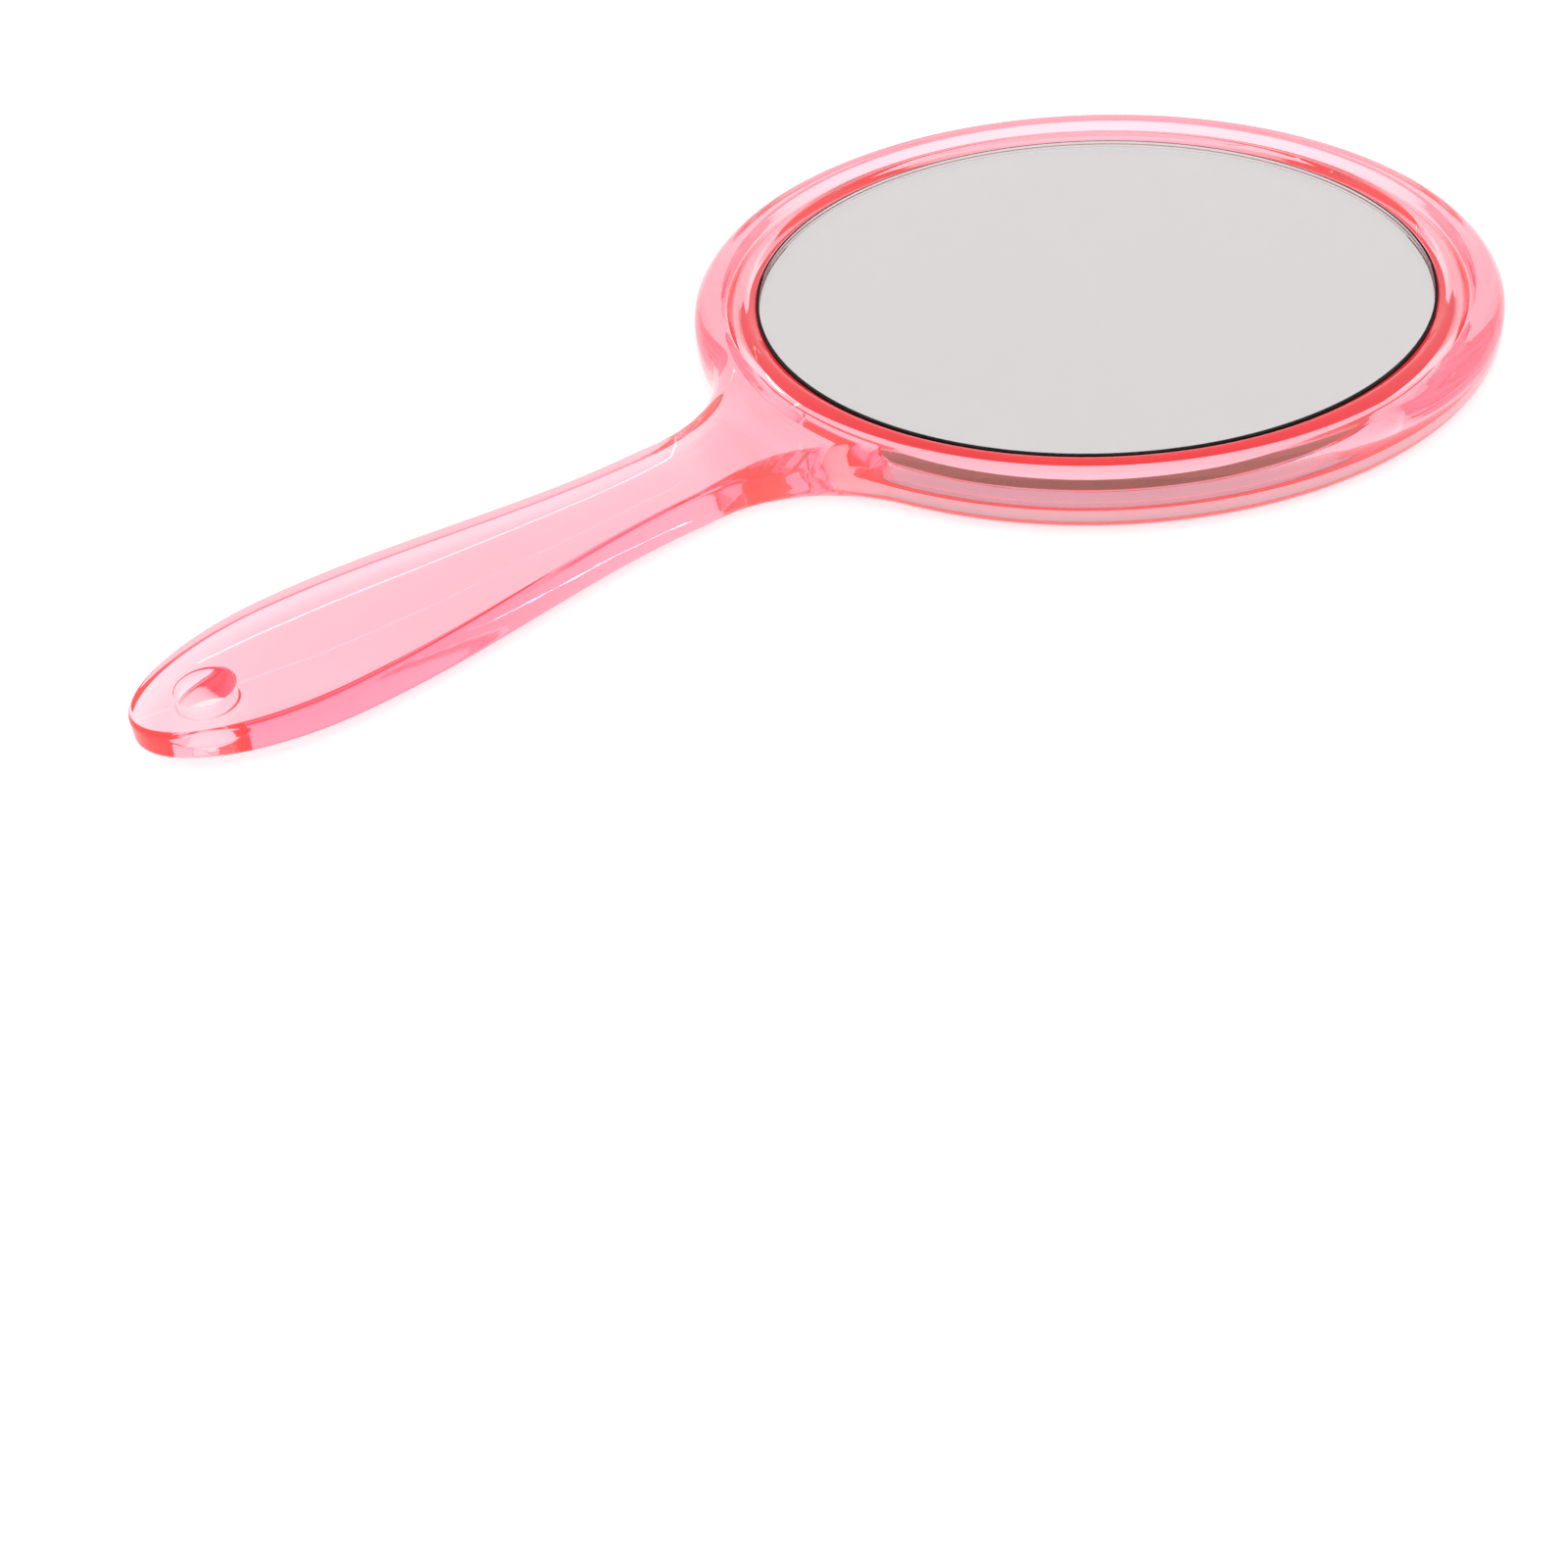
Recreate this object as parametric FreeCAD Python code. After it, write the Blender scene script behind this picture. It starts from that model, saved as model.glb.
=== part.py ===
"""Round double-sided hand mirror with a clear plastic handle frame, in millimetres.

The mirror lies flat with +Z up.  Its origin is under the middle of its length, on the
surface it lies on.  The handle points along -Y and the round head is at the +Y end.
Both faces are built alike, so everything on the rear is the front turned over.
The clear moulding is one piece in use.  It is built as three nodes that meet face to
face (rim, web and handle), so that each takes a simple collision shape.
"""

import FreeCAD, Part
import math
import os

# ---- driving dimensions ----
OVERALL_LENGTH = 240.0      # tip of the handle to the far side of the head
HEAD_RADIUS = 66.2          # outside of the head
HEAD_THICKNESS = 8.7        # lying height of the head, from land to land
LAND_INNER_RADIUS = 61.4    # flat land that the mirror rests on
LAND_OUTER_RADIUS = 62.8
SHOULDER_DROP = 1.75        # the inner edge of the frame lies this far below the land
RECESS_RADIUS = 60.6        # pocket for trim ring and glass, one on each face
WEB_THICKNESS = 0.8         # moulded partition between the two pockets

TRIM_INNER_RADIUS = 56.0    # clear trim ring that fills the pocket round the glass
TRIM_OUTER_RADIUS = 60.55
TRIM_SEAT_GAP = 0.05        # between the trim ring and the web
TRIM_OUTER_DROP = 1.85      # heights of its sloping top, below the land
TRIM_CREST_DROP = 0.9
TRIM_CREST_RADIUS = 57.8
TRIM_INNER_DROP = 1.9
TRIM_LIP_WIDTH = 0.3
TRIM_LIP_DROP = 1.75

GLASS_RADIUS = 55.4
GLASS_THICKNESS = 1.75
GLASS_DROP = 1.65           # polished face of the glass below the land
GLASS_ARRIS = 0.15          # ground edge of the glass
BACKING_RADIUS = 55.3
BACKING_THICKNESS = 0.15    # silver film and its protective paint
TAPE_INNER_RADIUS = 45.0
TAPE_OUTER_RADIUS = 53.0
PAD_RADIUS = 15.0

HANDLE_TIP_LENGTH = 27.0    # half-ellipse that ends the handle
HANDLE_BELLY_WIDTH = 27.7   # widest place, where the tip starts
HANDLE_NECK_WIDTH = 17.2    # narrowest place
HANDLE_NECK_DISTANCE = 88.0  # of the narrowest place, from the head's centre
HANDLE_ROOT_DISTANCE = 61.5  # of the handle's buried end
HANDLE_EDGE_SHARE = 0.13    # edge rounding, as a share of the local thickness
NECK_FILLET_RADIUS = 24.0   # hollow curves where the handle runs into the head
TIP_CLOSING = 0.35          # the handle's end cuts the point of the half-ellipse off by this much

HOLE_RADIUS = 4.2
HOLE_DISTANCE = 163.0       # from the head's centre
HOLE_EDGE_ROUND = 0.35

HANDLE_ROOT_THICKNESS = 7.6
HANDLE_THICKNESS = 6.5      # from the end of the root's blend to the start of the thinning
HANDLE_END_THICKNESS = 4.9
ROOT_BLEND_END = 84.0       # distances from the head's centre
THINNING_START = 128.0
SECTION_DISTANCES = [61.5, 63.0, 65.0, 67.5, 71.0, 75.5, 81.0, 88.0, 97.0, 107.0, 118.0,
                     128.0, 138.0, 147.0, 154.0, 160.0, 165.0, 168.7, 171.2, 172.7]

# ---- places worked out from them ----
MID_Z = HEAD_THICKNESS / 2
HEAD_Y = OVERALL_LENGTH / 2 - HEAD_RADIUS
HANDLE_REACH = OVERALL_LENGTH - HEAD_RADIUS
BELLY_DISTANCE = HANDLE_REACH + TIP_CLOSING - HANDLE_TIP_LENGTH
GLASS_FACE = MID_Z - GLASS_DROP           # heights above the middle plane
GLASS_BACK = GLASS_FACE - GLASS_THICKNESS
BACKING_BACK = GLASS_BACK - BACKING_THICKNESS
WEB_FACE = WEB_THICKNESS / 2
AXIS_START = FreeCAD.Vector(0, HEAD_Y, 0)
UP = FreeCAD.Vector(0, 0, 1)
TURN_OVER = -1


def head_point(radius, height):
    """Point of a head section: radius from the head's centre, height above the middle plane."""
    return FreeCAD.Vector(radius, HEAD_Y, MID_Z + height)


def turned(corners, side=1):
    """Solid of revolution about the head's axis from (radius, height) corners."""
    points = [head_point(radius, side * height) for radius, height in corners]
    outline = Part.makePolygon(points + points[:1])
    return Part.Face(outline).revolve(AXIS_START, UP, 360)


def edge_arc(side):
    """Quarter round from the land to the side of the head."""
    round_radius = HEAD_RADIUS - LAND_OUTER_RADIUS
    slant = round_radius * math.sqrt(0.5)
    centre_height = MID_Z - round_radius
    start = head_point(LAND_OUTER_RADIUS, side * MID_Z)
    middle = head_point(LAND_OUTER_RADIUS + slant, side * (centre_height + slant))
    end = head_point(HEAD_RADIUS, side * centre_height)
    return Part.Arc(start, middle, end).toShape()


def head_rim():
    """Rim of the head, which the handle grows out of and the web spans."""
    side_height = MID_Z - (HEAD_RADIUS - LAND_OUTER_RADIUS)
    shoulder = MID_Z - SHOULDER_DROP
    upper = [(RECESS_RADIUS, shoulder), (LAND_INNER_RADIUS, MID_Z), (LAND_OUTER_RADIUS, MID_Z)]
    top = Part.makePolygon([head_point(radius, height) for radius, height in upper])
    bottom = Part.makePolygon([head_point(radius, -height) for radius, height in upper])
    side = Part.makeLine(head_point(HEAD_RADIUS, side_height), head_point(HEAD_RADIUS, -side_height))
    pocket = Part.makeLine(head_point(RECESS_RADIUS, -shoulder), head_point(RECESS_RADIUS, shoulder))
    edges = top.Edges + [edge_arc(1), side, edge_arc(TURN_OVER)] + bottom.Edges + [pocket]
    outline = Part.Wire(Part.__sortEdges__(edges))
    return Part.Face(outline).revolve(AXIS_START, UP, 360)


def handle_half_width(distance):
    """Half width of the handle at a distance from the head's centre."""
    neck = HANDLE_NECK_WIDTH / 2
    belly = HANDLE_BELLY_WIDTH / 2
    centre_across = neck + NECK_FILLET_RADIUS
    centre_along = math.sqrt((HEAD_RADIUS + NECK_FILLET_RADIUS) ** 2 - centre_across ** 2)
    if distance < centre_along:
        along = centre_along - distance
        return centre_across - math.sqrt(NECK_FILLET_RADIUS ** 2 - along ** 2)
    if distance < HANDLE_NECK_DISTANCE:
        return neck
    if distance < BELLY_DISTANCE:
        share = (distance - HANDLE_NECK_DISTANCE) / (BELLY_DISTANCE - HANDLE_NECK_DISTANCE)
        return neck + (belly - neck) * (1 - math.cos(math.pi * share)) / 2
    share = (distance - BELLY_DISTANCE) / HANDLE_TIP_LENGTH
    return belly * math.sqrt(1 - min(share, 1) ** 2)


def handle_thickness(distance):
    """Thickness of the handle at a distance from the head's centre."""
    if distance < ROOT_BLEND_END:
        share = (distance - HANDLE_ROOT_DISTANCE) / (ROOT_BLEND_END - HANDLE_ROOT_DISTANCE)
        drop = HANDLE_ROOT_THICKNESS - HANDLE_THICKNESS
        return HANDLE_ROOT_THICKNESS - drop * (1 - math.cos(math.pi * share)) / 2
    share = max(distance - THINNING_START, 0) / (HANDLE_REACH - THINNING_START)
    return HANDLE_THICKNESS - (HANDLE_THICKNESS - HANDLE_END_THICKNESS) * share ** 2


def handle_section(distance):
    """Closed wire across the handle: flat faces, straight sides and round corners."""
    half_width = handle_half_width(distance)
    half_height = handle_thickness(distance) / 2
    corner = min(2 * half_height * HANDLE_EDGE_SHARE, 0.9 * half_width)
    flat = half_width - corner
    wall = half_height - corner
    slant = corner * math.sqrt(0.5)
    y = HEAD_Y - distance

    def point(x, height):
        return FreeCAD.Vector(x, y, MID_Z + height)

    edges = [Part.makeLine(point(-flat, half_height), point(flat, half_height))]
    edges.append(Part.Arc(point(flat, half_height), point(flat + slant, wall + slant),
                          point(half_width, wall)).toShape())
    edges.append(Part.makeLine(point(half_width, wall), point(half_width, -wall)))
    edges.append(Part.Arc(point(half_width, -wall), point(flat + slant, -wall - slant),
                          point(flat, -half_height)).toShape())
    edges.append(Part.makeLine(point(flat, -half_height), point(-flat, -half_height)))
    edges.append(Part.Arc(point(-flat, -half_height), point(-flat - slant, -wall - slant),
                          point(-half_width, -wall)).toShape())
    edges.append(Part.makeLine(point(-half_width, -wall), point(-half_width, wall)))
    edges.append(Part.Arc(point(-half_width, wall), point(-flat - slant, wall + slant),
                          point(-flat, half_height)).toShape())
    return Part.Wire(edges)


def handle_bar():
    """Handle from inside the rim to its tip."""
    wires = [handle_section(distance) for distance in SECTION_DISTANCES + [HANDLE_REACH]]
    return Part.makeLoft(wires, True, False)


def hole_cutter():
    """Hanging hole with rounded edges."""
    half_height = handle_thickness(HOLE_DISTANCE) / 2
    y = HEAD_Y - HOLE_DISTANCE
    flare = HOLE_RADIUS + HOLE_EDGE_ROUND
    straight = half_height - HOLE_EDGE_ROUND
    slant = HOLE_EDGE_ROUND * math.sqrt(0.5)
    clear = half_height + 1.0

    def point(radius, height):
        return FreeCAD.Vector(radius, y, MID_Z + height)

    def rounding(side):
        return Part.Arc(point(HOLE_RADIUS, side * straight),
                        point(flare - slant, side * (straight + slant)),
                        point(flare, side * half_height)).toShape()

    edges = [
        Part.makeLine(point(0, -clear), point(flare, -clear)),
        Part.makeLine(point(flare, -clear), point(flare, -half_height)),
        rounding(TURN_OVER),
        Part.makeLine(point(HOLE_RADIUS, -straight), point(HOLE_RADIUS, straight)),
        rounding(1),
        Part.makeLine(point(flare, half_height), point(flare, clear)),
        Part.makeLine(point(flare, clear), point(0, clear)),
        Part.makeLine(point(0, clear), point(0, -clear)),
    ]
    outline = Part.Wire(Part.__sortEdges__(edges))
    return Part.Face(outline).revolve(FreeCAD.Vector(0, y, 0), UP, 360)


def handle():
    """Handle with its hanging hole, ending on the outside of the rim."""
    disc = Part.makeCylinder(RECESS_RADIUS + 1.0, HEAD_THICKNESS, FreeCAD.Vector(0, HEAD_Y, 0), UP)
    return handle_bar().cut(head_rim().fuse(disc)).cut(hole_cutter())


def trim_ring(side):
    """Clear ring between the glass and the frame."""
    seat = WEB_FACE + TRIM_SEAT_GAP
    corners = [
        (TRIM_INNER_RADIUS, seat),
        (TRIM_OUTER_RADIUS, seat),
        (TRIM_OUTER_RADIUS, MID_Z - TRIM_OUTER_DROP),
        (TRIM_CREST_RADIUS, MID_Z - TRIM_CREST_DROP),
        (TRIM_INNER_RADIUS + TRIM_LIP_WIDTH, MID_Z - TRIM_LIP_DROP),
        (TRIM_INNER_RADIUS, MID_Z - TRIM_INNER_DROP),
    ]
    return turned(corners, side)


def glass_disc(side):
    """Flat glass with a fine ground arris round its polished face."""
    corners = [
        (0, GLASS_BACK),
        (GLASS_RADIUS, GLASS_BACK),
        (GLASS_RADIUS, GLASS_FACE - GLASS_ARRIS),
        (GLASS_RADIUS - GLASS_ARRIS, GLASS_FACE),
        (0, GLASS_FACE),
    ]
    return turned(corners, side)


def flat_ring(inner_radius, outer_radius, low, high, side):
    """Plain ring or disc between two heights above the middle plane."""
    corners = [(inner_radius, low), (outer_radius, low), (outer_radius, high), (inner_radius, high)]
    return turned(corners, side)


def export(node, shape):
    """Writes one closed solid as its own node."""
    solid = shape if shape.ShapeType == "Solid" else shape.Solids[0]
    assert len(shape.Solids) == 1 and solid.isValid(), node
    solid.exportStep("parts/" + node + ".step")
    print(node, "volume", round(solid.Volume, 1), "box", solid.BoundBox)


def main():
    os.makedirs("parts", exist_ok=True)
    export("head_rim", head_rim())
    export("pocket_web", turned([(0, -WEB_FACE), (RECESS_RADIUS, -WEB_FACE),
                                 (RECESS_RADIUS, WEB_FACE), (0, WEB_FACE)]))
    export("handle", handle())
    for face, side in (("front", 1), ("rear", TURN_OVER)):
        export(face + "_trim_ring", trim_ring(side))
        export(face + "_glass", glass_disc(side))
        export(face + "_silver_backing",
               flat_ring(0, BACKING_RADIUS, BACKING_BACK, GLASS_BACK, side))
        export(face + "_tape_ring",
               flat_ring(TAPE_INNER_RADIUS, TAPE_OUTER_RADIUS, WEB_FACE, BACKING_BACK, side))
        export(face + "_centre_pad",
               flat_ring(0, PAD_RADIUS, WEB_FACE, BACKING_BACK, side))


main()
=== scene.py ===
"""Looks of the hand mirror: a clear pink moulding with a silvered glass on each face.

Lengths in this script are millimetres until Builder.object turns them into metres. The strip
lamp, the camera and the depths of bumps are in metres.
"Height" is measured from the middle plane of the mirror, "reach" is the distance from the
head's centre towards the handle's tip.
"""
import math

import bmesh
import bpy
from mathutils import Matrix, Vector


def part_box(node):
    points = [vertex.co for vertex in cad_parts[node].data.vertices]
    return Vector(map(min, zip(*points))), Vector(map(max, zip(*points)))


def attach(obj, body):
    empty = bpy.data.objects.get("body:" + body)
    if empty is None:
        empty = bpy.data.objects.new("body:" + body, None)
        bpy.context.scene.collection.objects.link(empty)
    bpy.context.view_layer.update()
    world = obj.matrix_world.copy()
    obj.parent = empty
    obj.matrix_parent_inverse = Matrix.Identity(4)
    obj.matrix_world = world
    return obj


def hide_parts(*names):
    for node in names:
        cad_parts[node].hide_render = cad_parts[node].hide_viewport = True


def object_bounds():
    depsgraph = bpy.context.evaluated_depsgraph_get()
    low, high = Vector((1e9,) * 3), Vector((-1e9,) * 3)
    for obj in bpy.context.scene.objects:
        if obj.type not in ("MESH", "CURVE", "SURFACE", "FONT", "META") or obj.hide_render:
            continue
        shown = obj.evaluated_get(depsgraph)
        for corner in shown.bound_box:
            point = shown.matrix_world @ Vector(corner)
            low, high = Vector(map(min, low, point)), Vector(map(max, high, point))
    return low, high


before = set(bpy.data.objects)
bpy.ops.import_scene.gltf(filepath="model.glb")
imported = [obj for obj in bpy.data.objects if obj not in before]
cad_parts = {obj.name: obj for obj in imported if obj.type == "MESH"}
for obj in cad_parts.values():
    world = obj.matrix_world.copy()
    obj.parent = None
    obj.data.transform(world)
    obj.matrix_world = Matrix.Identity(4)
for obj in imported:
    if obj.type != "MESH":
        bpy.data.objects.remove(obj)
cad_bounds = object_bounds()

# ---- sizes taken from the frame ----
MM = 0.001
rim_low, rim_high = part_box("head_rim")
handle_low, handle_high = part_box("handle")
glass_low, glass_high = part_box("front_glass")
trim_low, trim_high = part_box("front_trim_ring")
film_low, film_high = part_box("front_silver_backing")

HEAD_Y = (glass_low[1] + glass_high[1]) / 2 / MM
MID_Z = (rim_low[2] + rim_high[2]) / 2 / MM
HALF_THICKNESS = (rim_high[2] - rim_low[2]) / 2 / MM
HEAD_RADIUS = (rim_high[0] - rim_low[0]) / 2 / MM
HANDLE_REACH = HEAD_Y - handle_low[1] / MM
GLASS_RADIUS = (glass_high[0] - glass_low[0]) / 2 / MM
GLASS_FACE = glass_high[2] / MM - MID_Z
GLASS_BACK = glass_low[2] / MM - MID_Z
TRIM_OUTER_RADIUS = (trim_high[0] - trim_low[0]) / 2 / MM
TRIM_SEAT = trim_low[2] / MM - MID_Z
TRIM_CREST = trim_high[2] / MM - MID_Z
FILM_RADIUS = (film_high[0] - film_low[0]) / 2 / MM
FILM_BACK = film_low[2] / MM - MID_Z

# ---- sizes of the frame moulding ----
LAND_OUTER_RADIUS = 62.8
LAND_MIDDLE_RADIUS = 62.1
LAND_INNER_RADIUS = 61.4
LAND_EDGE_WIDTH = 0.12
LAND_EDGE_DROP = 0.02
POCKET_RADIUS = 60.6
POCKET_CORNER = 0.1
SHOULDER_DROP = 1.75
SHOULDER_EDGE = 0.06
WEB_FACE = 0.4
NECK_FILLET_RADIUS = 24.0
NECK_HALF_WIDTH = 8.6
NECK_REACH = 88.0
BELLY_HALF_WIDTH = 13.85
TIP_LENGTH = 26.65
HOLE_RADIUS = 4.2
HOLE_REACH = 163.0
HOLE_ROUND = 0.35
HANDLE_BLEND_END = 84.0
HANDLE_THIN_START = 128.0
HANDLE_THICKNESS = 6.5
HANDLE_END_THICKNESS = 4.9
HEAD_ROUND = HEAD_RADIUS - LAND_OUTER_RADIUS
HANDLE_ROUND = 0.8
HANDLE_CROWN = 0.45
CROWN_SQUARENESS = 1.15
CROWN_START = 66.0
CROWN_END = 100.0

# ---- sizes of the trim rings ----
TRIM_INNER_RADIUS = 56.0
TRIM_CREST_RADIUS = 57.8
TRIM_OUTER_DROP = 0.95
TRIM_OUTER_EDGE = 0.08
TRIM_LIP_WIDTH = 0.3
TRIM_LIP_DROP = 0.85
TRIM_INNER_DROP = 1.0
TRIM_CORNER = 0.05
TRIM_CREST_CURVE = [(1.6, 0.44), (0.8, 0.12), (0.0, 0.0), (-0.4, 0.08), (-0.9, 0.36)]  # outward, drop

# ---- sizes of the glass, its coats and the glue ----
GLASS_ARRIS = 0.15
GLASS_CORNER = 0.05
GLASS_FACE_MARGIN = 0.3
AIR_GAP = 0.01
FILM_DEPTH = 0.05
FILM_MARGIN = 0.1
COAT_GAP = 0.02
COAT_REACH = 0.34
EDGE_LINE_TOP = 0.08
EDGE_LINE_LOW = 0.5
EDGE_LINE_CORNER = 0.04
GLUE_OVERLAP_ACROSS = 0.03
GLUE_OVERLAP_UP = 0.05
GLUE_INWARD = 0.15
GLUE_OUTWARD = 0.2
GLUE_TOP = 0.5

# ---- colours and light ----
PINK_TINT = (1.0, 0.885, 0.92)
PINK_ABSORB = (0.99, 0.20, 0.42)
PINK_DENSITY = 54.0
# Painted light: the pink moulding's glow all through, brighter beside the handle's roots.
BODY_PAINTED_GLOW = (0.037, 0.018, 0.014)
ROOT_PAINTED_GLOW = (0.300, 0.080, 0.066)
ROOT_ACROSS = 15.0
ROOT_REACH = 75.0
ROOT_CORE = 5.0
ROOT_SPREAD = 18.0
SKY_GLOW = 0.95
FLOOR_GLOW = 0.42
FLOOR_HALF_SIDE = 3000.0
FLOOR_GAP = 0.02
STRIP_START = (-1.21, 0.18, 0.77)
STRIP_END = (-1.01, 0.64, 0.67)
STRIP_WIDTH = 0.006
STRIP_GLOW = 5.0


def smooth(share):
    """0 to 1 with level ends."""
    share = min(max(share, 0.0), 1.0)
    return (1 - math.cos(math.pi * share)) / 2


def mix(start, end, share):
    return start + (end - start) * share


class Builder:
    """Collects quads on (x, reach, height) points and welds the points that coincide."""

    def __init__(self):
        self.points = []
        self.places = {}
        self.faces = []

    def point(self, x, reach, height):
        key = (round(x, 5), round(reach, 5), round(height, 5))
        if key not in self.places:
            self.places[key] = len(self.points)
            self.points.append((x, reach, height))
        return self.places[key]

    def face(self, *corners):
        kept = []
        for corner in corners:
            if corner not in kept:
                kept.append(corner)
        if len(kept) > 2:
            self.faces.append(kept)

    def grid(self, rows):
        """Quads between rows of points that have equal lengths."""
        for row, following in zip(rows, rows[1:]):
            for index in range(len(row) - 1):
                self.face(row[index], row[index + 1], following[index + 1], following[index])

    def object(self, name, material, nodes):
        mesh = bpy.data.meshes.new(name)
        places = [(x * MM, (HEAD_Y - reach) * MM, (MID_Z + height) * MM)
                  for x, reach, height in self.points]
        mesh.from_pydata(places, [], self.faces)
        mesh.update()
        piece = bpy.data.objects.new(name, mesh)
        bpy.context.scene.collection.objects.link(piece)
        outward(mesh)
        mesh.materials.append(material)
        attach(piece, "root")
        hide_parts(*nodes)
        return piece


def outward(mesh):
    """Turns all faces outward and shades them smooth, apart from real edges."""
    work = bmesh.new()
    work.from_mesh(mesh)
    bmesh.ops.recalc_face_normals(work, faces=work.faces)
    work.to_mesh(mesh)
    work.free()
    for polygon in mesh.polygons:
        polygon.use_smooth = True
    mesh.set_sharp_from_angle(angle=math.radians(28))


# ---- shape of the frame moulding ----

def top_height(radius):
    """Height of the moulding's top at a distance from the head's centre, without edge rounding."""
    if radius < LAND_INNER_RADIUS:
        slope = (LAND_INNER_RADIUS - radius) / (LAND_INNER_RADIUS - POCKET_RADIUS)
        return HALF_THICKNESS - SHOULDER_DROP * slope
    if radius < LAND_OUTER_RADIUS:
        return HALF_THICKNESS
    if radius < HANDLE_BLEND_END:
        share = (radius - LAND_OUTER_RADIUS) / (HANDLE_BLEND_END - LAND_OUTER_RADIUS)
        return mix(HALF_THICKNESS, HANDLE_THICKNESS / 2, smooth(share))
    share = max(radius - HANDLE_THIN_START, 0.0) / (HANDLE_REACH - HANDLE_THIN_START)
    return mix(HANDLE_THICKNESS, HANDLE_END_THICKNESS, share ** 2) / 2


def rounding(radius):
    """Radius of the edge rounding where the outline is this far from the head's centre."""
    return mix(HEAD_ROUND, HANDLE_ROUND, smooth((radius - HEAD_RADIUS) / (NECK_REACH - HEAD_RADIUS)))


FILLET_ACROSS = NECK_HALF_WIDTH + NECK_FILLET_RADIUS
FILLET_REACH = math.sqrt((HEAD_RADIUS + NECK_FILLET_RADIUS) ** 2 - FILLET_ACROSS ** 2)
BELLY_REACH = HANDLE_REACH - TIP_LENGTH


def bar_half_width(reach):
    """Half width of the handle from the neck's fillets to the belly."""
    if reach < FILLET_REACH:
        along = min(FILLET_REACH - reach, NECK_FILLET_RADIUS)
        return FILLET_ACROSS - math.sqrt(NECK_FILLET_RADIUS ** 2 - along ** 2)
    share = (reach - NECK_REACH) / (BELLY_REACH - NECK_REACH)
    return mix(NECK_HALF_WIDTH, BELLY_HALF_WIDTH, smooth(share))


def crown_drop(x, reach):
    """How far the crowned face of the handle lies below its middle line."""
    if reach < CROWN_START:
        return 0.0
    edge = (x / bar_half_width(min(reach, BELLY_REACH))) ** 2
    edge += (max(reach - BELLY_REACH, 0.0) / TIP_LENGTH) ** 2
    edge = edge ** CROWN_SQUARENESS
    growth = smooth((reach - CROWN_START) / (CROWN_END - CROWN_START))
    return HANDLE_CROWN * growth * min(edge, 1.0)


def face_height(x, reach):
    return top_height(math.hypot(x, reach)) - crown_drop(x, reach)


def on_circle(radius, angle, middle_reach=0.0):
    """Point on a circle, with angle 0 on the side away from the handle's tip."""
    return radius * math.sin(angle), middle_reach - radius * math.cos(angle)


def outline_station(place, inward, inner, pocket_angle=None, hole_angle=None):
    """Outline point, its inward direction, and the point that its row of the mesh runs to.

    An angle says that the row goes on into the pocket or the hanging hole.
    """
    return {"place": place, "inward": inward, "inner": inner,
            "pocket_angle": pocket_angle, "hole_angle": hole_angle}


TANGENT_ANGLE = math.pi - math.atan2(FILLET_ACROSS, FILLET_REACH)
HEAD_STEPS = 220
FILLET_STEPS = 72
FILLET_CIRCLE_SHARE = 0.45
BAR_STEPS = 100
TIP_STEPS = 130
HOLE_FIRST_SHARE = 0.26
HOLE_RIM = HOLE_RADIUS + HOLE_ROUND


def head_stations():
    stations = []
    for step in range(HEAD_STEPS):
        angle = TANGENT_ANGLE * step / HEAD_STEPS
        stations.append(outline_station(on_circle(HEAD_RADIUS, angle), (-math.sin(angle), math.cos(angle)),
                                        on_circle(LAND_MIDDLE_RADIUS, angle), pocket_angle=angle))
    return stations


def fillet_stations():
    """The neck's fillet, whose rows run to the land circle and then to the centre line."""
    stations = []
    start = math.atan2(HEAD_RADIUS * math.sin(TANGENT_ANGLE) - FILLET_ACROSS,
                       FILLET_REACH + HEAD_RADIUS * math.cos(TANGENT_ANGLE))
    for step in range(FILLET_STEPS):
        share = step / FILLET_STEPS
        turn = mix(start, -math.pi / 2, share)
        place = (FILLET_ACROSS + NECK_FILLET_RADIUS * math.sin(turn),
                 FILLET_REACH - NECK_FILLET_RADIUS * math.cos(turn))
        angle = None
        if share < FILLET_CIRCLE_SHARE:
            angle = mix(TANGENT_ANGLE, math.pi, share / FILLET_CIRCLE_SHARE)
            inner = on_circle(LAND_MIDDLE_RADIUS, angle)
        else:
            share = (share - FILLET_CIRCLE_SHARE) / (1 - FILLET_CIRCLE_SHARE)
            inner = (0.0, mix(LAND_MIDDLE_RADIUS, FILLET_REACH, share))
        stations.append(outline_station(place, (math.sin(turn), -math.cos(turn)), inner, pocket_angle=angle))
    return stations


def bar_stations():
    """From the neck to the belly, with rows to the centre line."""
    stations = []
    length = BELLY_REACH - NECK_REACH
    for step in range(BAR_STEPS):
        reach = mix(FILLET_REACH, BELLY_REACH, step / BAR_STEPS)
        share = (reach - NECK_REACH) / length
        slope = 0.0
        if share > 0:
            slope = (BELLY_HALF_WIDTH - NECK_HALF_WIDTH) * math.pi / 2 * math.sin(math.pi * share) / length
        norm = math.hypot(1.0, slope)
        place = (bar_half_width(reach), reach)
        stations.append(outline_station(place, (-1 / norm, slope / norm), (0.0, reach)))
    return stations


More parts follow.
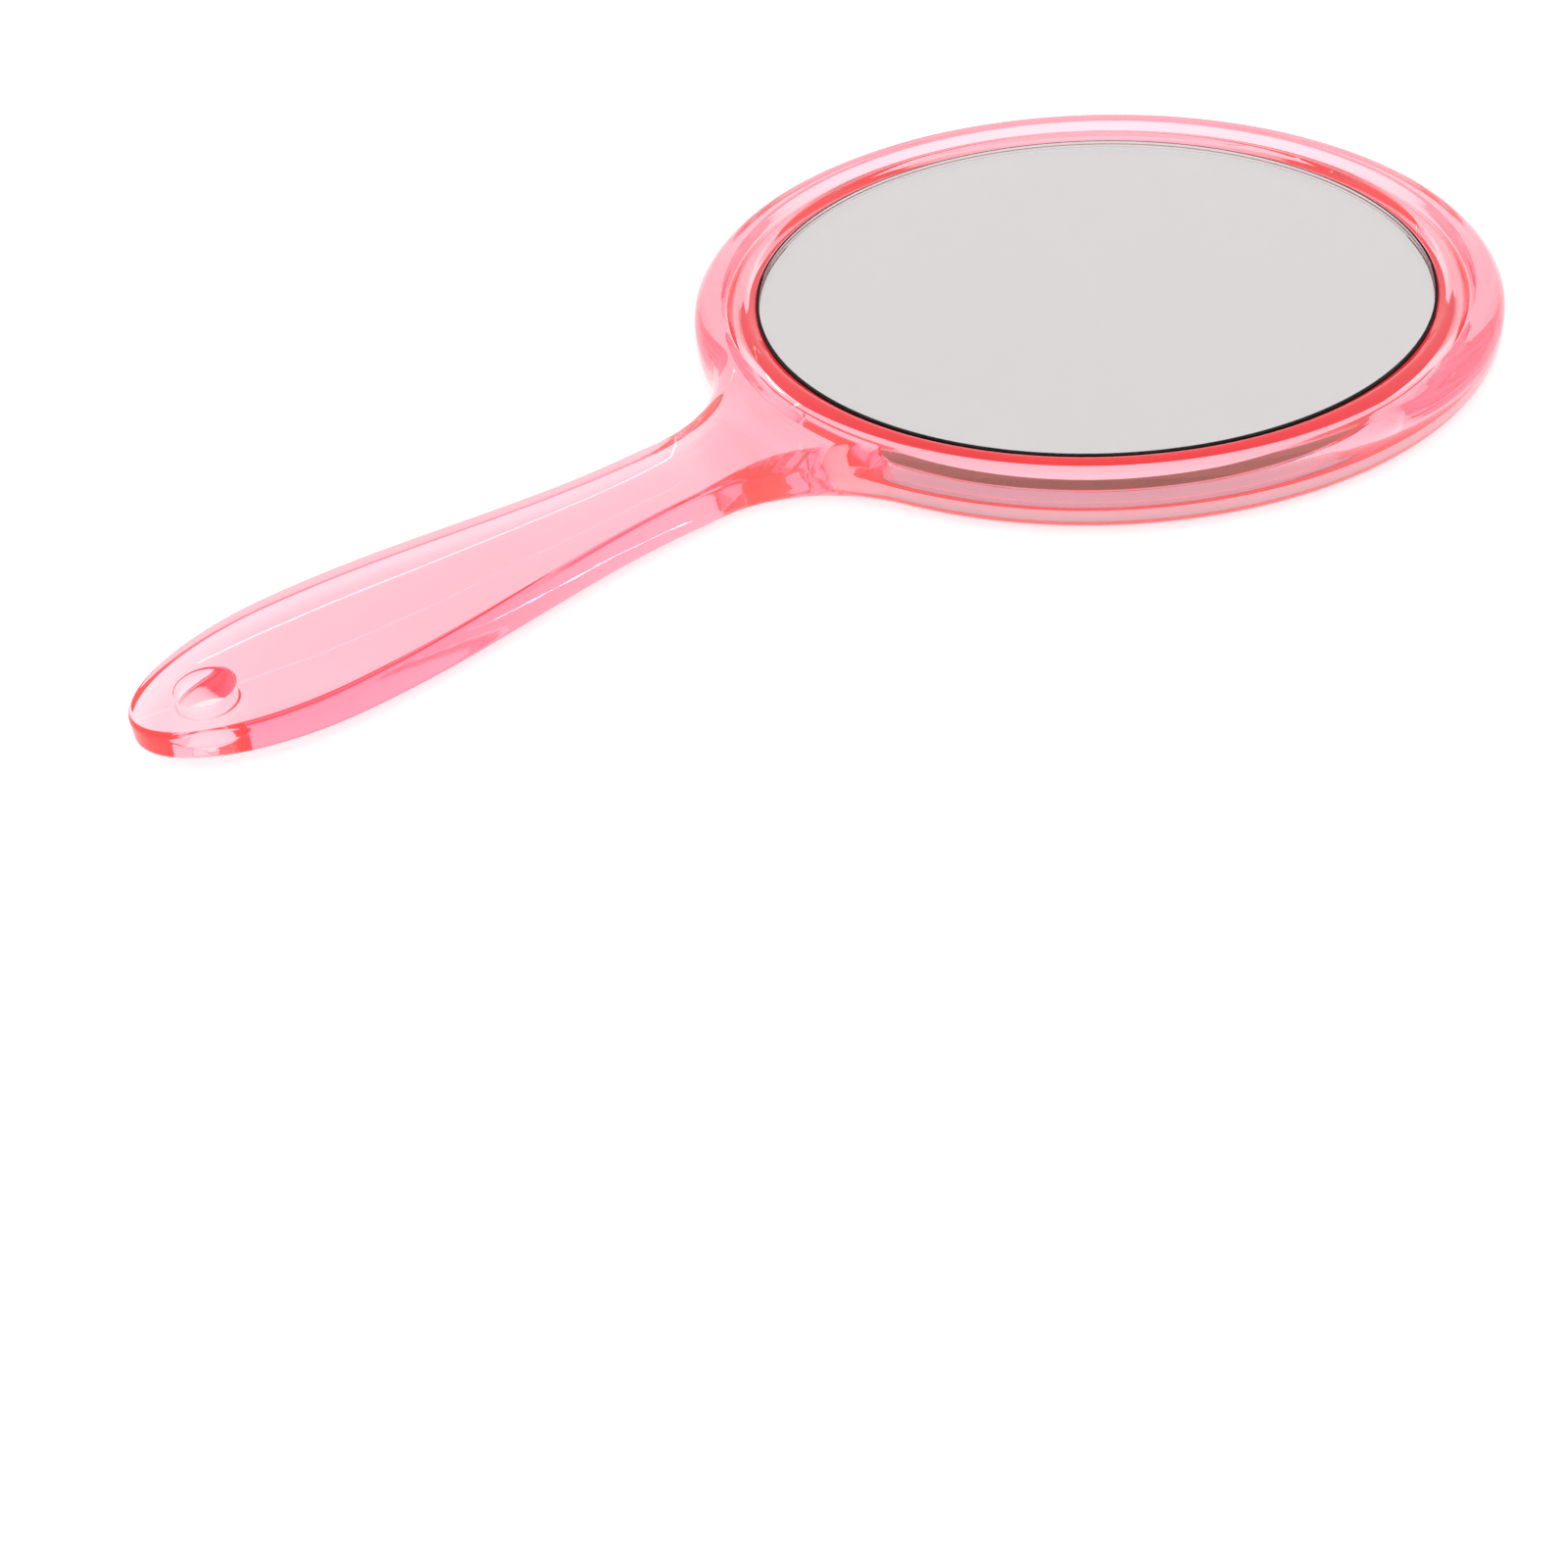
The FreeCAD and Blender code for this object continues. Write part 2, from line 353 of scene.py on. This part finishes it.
def tip_stations():
    """Half ellipse of the tip, whose rows run to the centre line and then round the hanging hole."""
    stations = []
    hole_start = math.asin(HOLE_FIRST_SHARE)
    for step in range(TIP_STEPS + 1):
        turn = math.pi / 2 * step / TIP_STEPS
        x = BELLY_HALF_WIDTH * math.cos(turn) if step < TIP_STEPS else 0.0
        inward_x = -math.cos(turn) / BELLY_HALF_WIDTH
        inward_reach = -math.sin(turn) / TIP_LENGTH
        norm = math.hypot(inward_x, inward_reach)
        angle = None
        if turn < hole_start:
            inner = (0.0, mix(BELLY_REACH, HOLE_REACH - HOLE_RIM, turn / hole_start))
        else:
            angle = math.pi * (turn - hole_start) / (math.pi / 2 - hole_start)
            inner = on_circle(HOLE_RIM, angle, HOLE_REACH)
        stations.append(outline_station((x, BELLY_REACH + TIP_LENGTH * math.sin(turn)),
                                        (inward_x / norm, inward_reach / norm), inner, hole_angle=angle))
    return stations


EDGE_STEPS = 16
FACE_STEPS = 14
WALL_STEPS = 4
HOLE_ROUND_STEPS = 6
HOLE_WALL_STEPS = 3


def face_row(builder, mirror, side, station):
    """From the middle plane up the side wall, over the rounded edge and across the face."""
    x, reach = station["place"]
    inward_x, inward_reach = station["inward"]
    inner_x, inner_reach = station["inner"]
    edge_round = rounding(math.hypot(x, reach))
    wall = face_height(x, reach) - edge_round
    row = []
    for step in range(WALL_STEPS):
        row.append(builder.point(mirror * x, reach, side * wall * step / WALL_STEPS))
    for step in range(EDGE_STEPS):
        turn = math.pi / 2 * step / EDGE_STEPS
        inset = edge_round * (1 - math.cos(turn))
        edge_x = x + inward_x * inset
        edge_reach = reach + inward_reach * inset
        height = face_height(edge_x, edge_reach) - edge_round * (1 - math.sin(turn))
        row.append(builder.point(mirror * edge_x, edge_reach, side * height))
    for step in range(FACE_STEPS + 1):
        share = step / FACE_STEPS
        face_x = mix(x + inward_x * edge_round, inner_x, share)
        face_reach = mix(reach + inward_reach * edge_round, inner_reach, share)
        row.append(builder.point(mirror * face_x, face_reach, side * face_height(face_x, face_reach)))
    return row


def frame_rows(builder, mirror, side):
    """Rows of mesh points for one quarter of the moulding, and its pocket and hole rows."""
    rows = []
    pocket_rows = []
    hole_rows = []
    for station in head_stations() + fillet_stations() + bar_stations() + tip_stations():
        rows.append(face_row(builder, mirror, side, station))
        if station["pocket_angle"] is not None:
            pocket_rows.append(pocket_row(builder, mirror, side, station["pocket_angle"]))
        if station["hole_angle"] is not None:
            hole_rows.append(hole_row(builder, mirror, side, station["hole_angle"]))
    return rows, pocket_rows, hole_rows


def pocket_row(builder, mirror, side, angle):
    """From the land down the pocket wall and over the web to the head's centre."""
    land_edge = HALF_THICKNESS - LAND_EDGE_DROP
    shoulder = HALF_THICKNESS - SHOULDER_DROP
    profile = [(LAND_MIDDLE_RADIUS, HALF_THICKNESS), (LAND_INNER_RADIUS + LAND_EDGE_WIDTH, HALF_THICKNESS),
               (LAND_INNER_RADIUS, land_edge)]
    profile += [(mix(LAND_INNER_RADIUS, POCKET_RADIUS, share),
                 land_edge - (SHOULDER_DROP - LAND_EDGE_DROP) * share) for share in (0.33, 0.67, 0.95)]
    profile += [(POCKET_RADIUS, shoulder - SHOULDER_EDGE), (POCKET_RADIUS, mix(shoulder, WEB_FACE, 0.5)),
                (POCKET_RADIUS, WEB_FACE + POCKET_CORNER), (POCKET_RADIUS - POCKET_CORNER, WEB_FACE)]
    profile += [(radius, WEB_FACE) for radius in (50.0, 40.0, 30.0, 20.0, 10.0, 0.0)]
    row = []
    for radius, height in profile:
        x, reach = on_circle(radius, angle)
        row.append(builder.point(mirror * x, reach, side * height))
    return row


def hole_row(builder, mirror, side, angle):
    """From the rim of the hanging hole over its rounding and down its wall."""
    row = []
    rim_height = face_height(*on_circle(HOLE_RIM, angle, HOLE_REACH))
    for step in range(HOLE_ROUND_STEPS + 1):
        turn = math.pi / 2 * step / HOLE_ROUND_STEPS
        x, reach = on_circle(HOLE_RADIUS + HOLE_ROUND * (1 - math.sin(turn)), angle, HOLE_REACH)
        height = rim_height - HOLE_ROUND * (1 - math.cos(turn))
        row.append(builder.point(mirror * x, reach, side * height))
    x, reach = on_circle(HOLE_RADIUS, angle, HOLE_REACH)
    for step in range(1, HOLE_WALL_STEPS + 1):
        row.append(builder.point(mirror * x, reach, side * mix(height, 0.0, step / HOLE_WALL_STEPS)))
    return row


def frame_moulding(material):
    builder = Builder()
    for mirror in (1, -1):
        for side in (1, -1):
            for rows in frame_rows(builder, mirror, side):
                builder.grid(rows)
    return builder.object("frame_moulding", material,
                          ["head_rim", "pocket_web", "handle"])


# ---- round pieces ----

def turned(name, profile, material, nodes, steps=360):
    """Closed piece turned about the head's axis from (radius, height) corners."""
    builder = Builder()
    rows = []
    for step in range(steps + 1):
        angle = 2 * math.pi * (step % steps) / steps
        rows.append([builder.point(radius * math.sin(angle), -radius * math.cos(angle), height)
                     for radius, height in profile + profile[:1]])
    builder.grid(rows)
    return builder.object(name, material, nodes)


def flipped(profile, side):
    return [(radius, side * height) for radius, height in profile]


def trim_ring(face, side, material):
    seat = TRIM_SEAT
    outer_top = TRIM_CREST - TRIM_OUTER_DROP
    profile = [(TRIM_INNER_RADIUS + TRIM_CORNER, seat), (TRIM_CREST_RADIUS, seat),
               (TRIM_OUTER_RADIUS - TRIM_CORNER, seat), (TRIM_OUTER_RADIUS, seat + TRIM_CORNER),
               (TRIM_OUTER_RADIUS, mix(seat, outer_top, 0.5)),
               (TRIM_OUTER_RADIUS, outer_top - TRIM_OUTER_EDGE),
               (TRIM_OUTER_RADIUS - TRIM_OUTER_EDGE, outer_top)]
    profile += [(TRIM_CREST_RADIUS + outward_by, TRIM_CREST - drop) for outward_by, drop in TRIM_CREST_CURVE]
    profile += [(TRIM_INNER_RADIUS + TRIM_LIP_WIDTH, TRIM_CREST - TRIM_LIP_DROP),
                (TRIM_INNER_RADIUS, TRIM_CREST - TRIM_INNER_DROP),
                (TRIM_INNER_RADIUS, mix(seat, outer_top, 0.5)), (TRIM_INNER_RADIUS, seat + TRIM_CORNER)]
    return turned(face + "_trim_ring_clear", flipped(profile, side), material,
                  [face + "_trim_ring"])


def glass_disc(face, side, material):
    back = GLASS_BACK + AIR_GAP
    rings = [0.0, 10.0, 20.0, 30.0, 40.0, 50.0, GLASS_RADIUS - GLASS_FACE_MARGIN]
    profile = [(radius, back) for radius in rings]
    profile += [(GLASS_RADIUS - GLASS_CORNER, back), (GLASS_RADIUS, back + GLASS_CORNER),
                (GLASS_RADIUS, mix(GLASS_BACK, GLASS_FACE, 0.5)),
                (GLASS_RADIUS, GLASS_FACE - GLASS_ARRIS), (GLASS_RADIUS - GLASS_ARRIS, GLASS_FACE)]
    profile += [(radius, GLASS_FACE) for radius in reversed(rings)]
    return turned(face + "_glass_disc", flipped(profile, side), material,
                  [face + "_glass"])


def edge_coats(face, side, dark, paint):
    """Near-black line round the ground edge of the glass, partly its dark ground edge and partly painted
    shade of the gap beside it, and the back paint that laps over the rest.
    """
    inner = GLASS_RADIUS + COAT_GAP
    outer = GLASS_RADIUS + COAT_REACH
    seam = GLASS_FACE - EDGE_LINE_LOW
    top = GLASS_FACE - EDGE_LINE_TOP
    profile = [(inner, seam), (outer, seam), (outer, top - EDGE_LINE_CORNER),
               (outer - EDGE_LINE_CORNER, top), (inner, top)]
    turned(face + "_edge_line_and_gap_shade", flipped(profile, side), dark, [face + "_glass"])
    low = GLASS_BACK + COAT_GAP
    high = seam - AIR_GAP
    profile = [(inner, low), (outer, low), (outer, high), (inner, high)]
    turned(face + "_edge_paint", flipped(profile, side), paint, [face + "_glass"])


def glue_bead(face, side, material):
    """Assumed red glue in the trim ring's seat and inner wall, which it overlaps slightly.

    It gives the red band round the glass. An air gap here would hide it by total reflection.
    """
    wet = TRIM_INNER_RADIUS + GLUE_OVERLAP_ACROSS
    inner = TRIM_INNER_RADIUS - GLUE_INWARD
    outer = TRIM_CREST_RADIUS + GLUE_OUTWARD
    low = WEB_FACE + COAT_GAP
    seat = TRIM_SEAT + GLUE_OVERLAP_UP
    top = GLASS_FACE - GLUE_TOP
    profile = [(inner, low), (outer, low), (outer, seat), (wet, seat), (wet, top), (inner, top)]
    turned(face + "_glue_bead", flipped(profile, side), material, [face + "_trim_ring"])


def silver_film(face, side, silver, paint):
    """Silver film under the glass, and the red paint that protects it, each with an air gap."""
    film_top = GLASS_BACK - AIR_GAP
    film_bottom = GLASS_BACK - FILM_DEPTH
    radius = FILM_RADIUS - FILM_MARGIN
    profile = [(0.0, film_bottom), (radius, film_bottom), (radius, film_top), (0.0, film_top)]
    turned(face + "_silver_film", flipped(profile, side), silver, [face + "_silver_backing"])
    low = FILM_BACK + AIR_GAP
    high = film_bottom - AIR_GAP
    profile = [(0.0, low), (FILM_RADIUS, low), (FILM_RADIUS, high), (0.0, high)]
    turned(face + "_film_paint", flipped(profile, side), paint, [face + "_silver_backing"])


def foam_pieces(face, material):
    """The tape ring and the centre pad are the CAD's own meshes with a foam material."""
    for node in (face + "_tape_ring", face + "_centre_pad"):
        mesh = bpy.data.objects[node].data
        mesh.materials.clear()
        mesh.materials.append(material)


# ---- materials ----

def new_material(name):
    material = bpy.data.materials.new(name)
    material.use_nodes = True
    return material, material.node_tree, material.node_tree.nodes["Principled BSDF"]


def noise(tree, scale, stretch=(1.0, 1.0, 1.0), turn=0.0, detail=3.0):
    """Noise over the piece's own coordinates in metres, stretched along its axes."""
    place = tree.nodes.new("ShaderNodeTexCoord")
    mapping = tree.nodes.new("ShaderNodeMapping")
    mapping.inputs["Rotation"].default_value = (0.0, 0.0, math.radians(turn))
    mapping.inputs["Scale"].default_value = stretch
    texture = tree.nodes.new("ShaderNodeTexNoise")
    texture.inputs["Scale"].default_value = scale
    texture.inputs["Detail"].default_value = detail
    tree.links.new(place.outputs["Object"], mapping.inputs["Vector"])
    tree.links.new(mapping.outputs["Vector"], texture.inputs["Vector"])
    return texture.outputs["Fac"]


def ranged(tree, source, from_low, from_high, to_low, to_high):
    node = tree.nodes.new("ShaderNodeMapRange")
    node.inputs["From Min"].default_value = from_low
    node.inputs["From Max"].default_value = from_high
    node.inputs["To Min"].default_value = to_low
    node.inputs["To Max"].default_value = to_high
    tree.links.new(source, node.inputs["Value"])
    return node.outputs["Result"]


def between(tree, share, first, second):
    """Colour between two colours."""
    node = tree.nodes.new("ShaderNodeMix")
    node.data_type = "RGBA"
    for socket in node.inputs:
        if socket.type == "RGBA":
            socket.default_value = (*(first if socket.name == "A" else second), 1)
    tree.links.new(share, node.inputs["Factor"])
    return next(socket for socket in node.outputs if socket.type == "RGBA")


def bump(tree, height, depth, strength, under=None):
    node = tree.nodes.new("ShaderNodeBump")
    node.inputs["Strength"].default_value = strength
    node.inputs["Distance"].default_value = depth
    tree.links.new(height, node.inputs["Height"])
    if under is not None:
        tree.links.new(under, node.inputs["Normal"])
    return node.outputs["Normal"]


def scratches(tree, turn):
    """0 almost everywhere and 1 on thin, nearly straight lines."""
    lines = noise(tree, 1.0, (60.0, 2600.0, 2600.0), turn, 2.0)
    return ranged(tree, lines, 0.70, 0.76, 0.0, 1.0)


def painted_root_glow(tree):
    """1 beside the roots of the handle and 0 elsewhere, by position in the piece.

    It places painted light where light gathers in a real moulding.
    """
    place = tree.nodes.new("ShaderNodeTexCoord")
    mirrored = tree.nodes.new("ShaderNodeVectorMath")
    mirrored.operation = "ABSOLUTE"
    shifted = tree.nodes.new("ShaderNodeVectorMath")
    shifted.operation = "SUBTRACT"
    shifted.inputs[1].default_value = (0.0, HEAD_Y * MM, 0.0)
    tree.links.new(place.outputs["Object"], shifted.inputs[0])
    tree.links.new(shifted.outputs["Vector"], mirrored.inputs[0])
    distance = tree.nodes.new("ShaderNodeVectorMath")
    distance.operation = "DISTANCE"
    distance.inputs[1].default_value = (ROOT_ACROSS * MM, ROOT_REACH * MM, MID_Z * MM)
    tree.links.new(mirrored.outputs["Vector"], distance.inputs[0])
    near = ranged(tree, distance.outputs["Value"], ROOT_CORE * MM, ROOT_SPREAD * MM, 1.0, 0.0)
    smoothed = tree.nodes.new("ShaderNodeMath")
    smoothed.operation = "POWER"
    smoothed.inputs[1].default_value = 1.6
    tree.links.new(near, smoothed.inputs[0])
    return smoothed.outputs[0]


def clear_plastic(name, tint, absorb, density):
    """Dyed clear moulding: flow marks in its walls, rubbed faces, and a faint painted glow all through.

    The glow is not physical: it fills the dark patches left by light lost in inner reflections.
    """
    material, tree, shader = new_material(name)
    shade = ranged(tree, noise(tree, 55.0), 0.35, 0.65, 0.0, 1.0)
    pale = tuple(min(channel * 1.012, 1.0) for channel in tint)
    deep = tuple(channel * 0.985 for channel in tint)
    tree.links.new(between(tree, shade, pale, deep), shader.inputs["Base Color"])
    rubbed = ranged(tree, noise(tree, 130.0, (1.0, 0.4, 1.0)), 0.4, 0.75, 0.008, 0.04)
    tree.links.new(rubbed, shader.inputs["Roughness"])
    flow = noise(tree, 1.0, (14.0, 14.0, 1500.0), 0.0, 2.0)
    normal = bump(tree, flow, 0.00003, 0.35)
    normal = bump(tree, scratches(tree, 82.0), 0.000004, 0.5, normal)
    tree.links.new(normal, shader.inputs["Normal"])
    shader.inputs["Transmission Weight"].default_value = 1.0
    shader.inputs["IOR"].default_value = 1.49
    # Painted light: a faint glow all through the moulding, brighter beside the handle's roots.
    tree.links.new(between(tree, painted_root_glow(tree), BODY_PAINTED_GLOW, ROOT_PAINTED_GLOW), shader.inputs["Emission Color"])
    shader.inputs["Emission Strength"].default_value = 1.0
    material.cycles.emission_sampling = "NONE"
    volume = tree.nodes.new("ShaderNodeVolumeAbsorption")
    volume.inputs["Color"].default_value = (*absorb, 1)
    volume.inputs["Density"].default_value = density
    tree.links.new(volume.outputs[0], tree.nodes["Material Output"].inputs["Volume"])
    return material


def mirror_glass():
    material, tree, shader = new_material("mirror_glass")
    shade = noise(tree, 30.0)
    clear = between(tree, shade, (0.978, 0.974, 0.972), (0.971, 0.968, 0.966))
    tree.links.new(clear, shader.inputs["Base Color"])
    wiped = ranged(tree, noise(tree, 70.0, (1.0, 0.3, 1.0), 30.0), 0.45, 0.8, 0.0, 0.012)
    tree.links.new(wiped, shader.inputs["Roughness"])
    tree.links.new(bump(tree, scratches(tree, 35.0), 0.000002, 0.3), shader.inputs["Normal"])
    shader.inputs["Transmission Weight"].default_value = 1.0
    shader.inputs["IOR"].default_value = 1.5
    return material


def silver_metal():
    """Darker than real silver, to give the mirror its grey in a white room."""
    material, tree, shader = new_material("silver")
    shade = noise(tree, 40.0)
    grey = between(tree, shade, (0.764, 0.734, 0.735), (0.756, 0.726, 0.727))
    tree.links.new(grey, shader.inputs["Base Color"])
    cloud = ranged(tree, noise(tree, 220.0), 0.5, 0.8, 0.0, 0.02)
    tree.links.new(cloud, shader.inputs["Roughness"])
    shader.inputs["Metallic"].default_value = 1.0
    return material


def rough_coat(name, first, second, grain, roughness, depth, shine=0.5, glow=0.0):
    """Sprayed paint, foam or glue: speckled colour, uneven sheen, a grainy surface and, where asked, a
    painted glow in its first colour.
    """
    material, tree, shader = new_material(name)
    speckle = noise(tree, grain, detail=4.0)
    tree.links.new(between(tree, speckle, first, second), shader.inputs["Base Color"])
    sheen = ranged(tree, noise(tree, grain / 4), 0.3, 0.7, roughness - 0.08, roughness + 0.08)
    tree.links.new(sheen, shader.inputs["Roughness"])
    tree.links.new(bump(tree, speckle, depth, 0.5), shader.inputs["Normal"])
    shader.inputs["Specular IOR Level"].default_value = shine
    shader.inputs["Emission Color"].default_value = (*first, 1)
    # Painted glow: the coat gives off light in its first colour, though it is no lamp.
    shader.inputs["Emission Strength"].default_value = glow
    material.cycles.emission_sampling = "NONE"
    return material


def floor_paper():
    material, tree, shader = new_material("floor_white")
    shader.inputs["Base Color"].default_value = (0.9, 0.9, 0.9, 1)
    shader.inputs["Emission Color"].default_value = (1, 1, 1, 1)
    shader.inputs["Emission Strength"].default_value = FLOOR_GLOW
    grain = ranged(tree, noise(tree, 90.0), 0.3, 0.7, 0.8, 0.95)
    tree.links.new(grain, shader.inputs["Roughness"])
    return material


# ---- stage ----

def floor():
    mesh = bpy.data.meshes.new("floor")
    half = FLOOR_HALF_SIDE * MM
    height = cad_bounds[0][2] - FLOOR_GAP * MM
    corners = [(-half, -half, height), (half, -half, height), (half, half, height), (-half, half, height)]
    mesh.from_pydata(corners, [], [(0, 1, 2, 3)])
    piece = bpy.data.objects.new("floor", mesh)
    bpy.context.scene.collection.objects.link(piece)
    mesh.materials.append(floor_paper())


def strip_light(start, end, width, glow):
    """Thin flat lamp between two places in metres, mirrored in the handle as a fine white line."""
    start, end = Vector(start), Vector(end)
    data = bpy.data.lights.new("strip", "AREA")
    data.shape = "RECTANGLE"
    data.size = (end - start).length
    data.size_y = width
    data.energy = glow * math.pi * data.size * width
    lamp = bpy.data.objects.new("strip", data)
    bpy.context.scene.collection.objects.link(lamp)
    middle = (start + end) / 2
    along = (end - start).normalized()
    across = middle.normalized().cross(along).normalized()
    turn = Matrix((along, across, along.cross(across))).transposed()
    lamp.matrix_world = Matrix.Translation(middle) @ turn.to_4x4()


def studio():
    world = bpy.data.worlds.new("studio")
    bpy.context.scene.world = world
    world.use_nodes = True
    background = world.node_tree.nodes["Background"]
    background.inputs[0].default_value = (1, 1, 1, 1)
    background.inputs[1].default_value = SKY_GLOW
    strip_light(STRIP_START, STRIP_END, STRIP_WIDTH, STRIP_GLOW)
    scene = bpy.context.scene
    scene.view_settings.view_transform = "Standard"
    scene.cycles.max_bounces = 32
    scene.cycles.transmission_bounces = 32
    scene.cycles.glossy_bounces = 16


def camera():
    """Camera above the near side of the handle, placed from the middle of the front glass."""
    elevation = math.radians(39.12)
    azimuth = math.radians(55.733)
    roll = math.radians(-5.484)
    distance = 0.37105
    across = -0.05086
    rise = -0.08367
    back = Vector((0, -math.cos(elevation), math.sin(elevation)))
    right = Vector((1, 0, 0))
    up = Vector((0, math.sin(elevation), math.cos(elevation)))
    rolled_right = right * math.cos(roll) + up * math.sin(roll)
    rolled_up = up * math.cos(roll) - right * math.sin(roll)
    place = rolled_right * across + rolled_up * rise + back * distance
    turn = Matrix.Rotation(azimuth, 3, "Z")
    head = Vector((0, HEAD_Y * MM, (MID_Z + GLASS_FACE) * MM))
    columns = [turn @ rolled_right, turn @ rolled_up, turn @ back]
    pose = Matrix.Translation(head + turn @ place) @ Matrix(columns).transposed().to_4x4()
    view = bpy.data.objects.new("camera", bpy.data.cameras.new("camera"))
    bpy.context.scene.collection.objects.link(view)
    view.data.sensor_width = 36.0
    view.data.lens = 51.35
    view.data.clip_start = 0.01
    view.matrix_world = pose
    bpy.context.scene.camera = view


def main():
    pink = clear_plastic("clear_pink", PINK_TINT, PINK_ABSORB, PINK_DENSITY)
    glass = mirror_glass()
    silver = silver_metal()
    paint = rough_coat("back_paint", (0.66, 0.05, 0.06), (0.58, 0.04, 0.05), 900.0, 0.6, 0.00001)
    tape = rough_coat("foam_tape", (0.34, 0.05, 0.06), (0.28, 0.04, 0.05), 1600.0, 0.8, 0.00004, shine=0.2)
    # Near-black coat: partly the glass's dark ground edge, partly painted shade in the gap round the glass.
    edge = rough_coat("edge_line_and_gap_shade", (0.004, 0.004, 0.004), (0.008, 0.007, 0.008), 900.0, 0.5, 0.00001,
                      shine=0.1)
    # The glue's glow is painted light that brightens the red band round the glass.
    glue = rough_coat("red_glue", (0.95, 0.02, 0.05), (0.80, 0.015, 0.03), 120.0, 0.4, 0.00002, glow=0.3)
    frame_moulding(pink)
    for face, side in (("front", 1), ("rear", -1)):
        trim_ring(face, side, pink)
        glue_bead(face, side, glue)
        edge_coats(face, side, edge, paint)
        glass_disc(face, side, glass)
        silver_film(face, side, silver, paint)
        foam_pieces(face, tape)
    floor()
    studio()
    camera()


main()
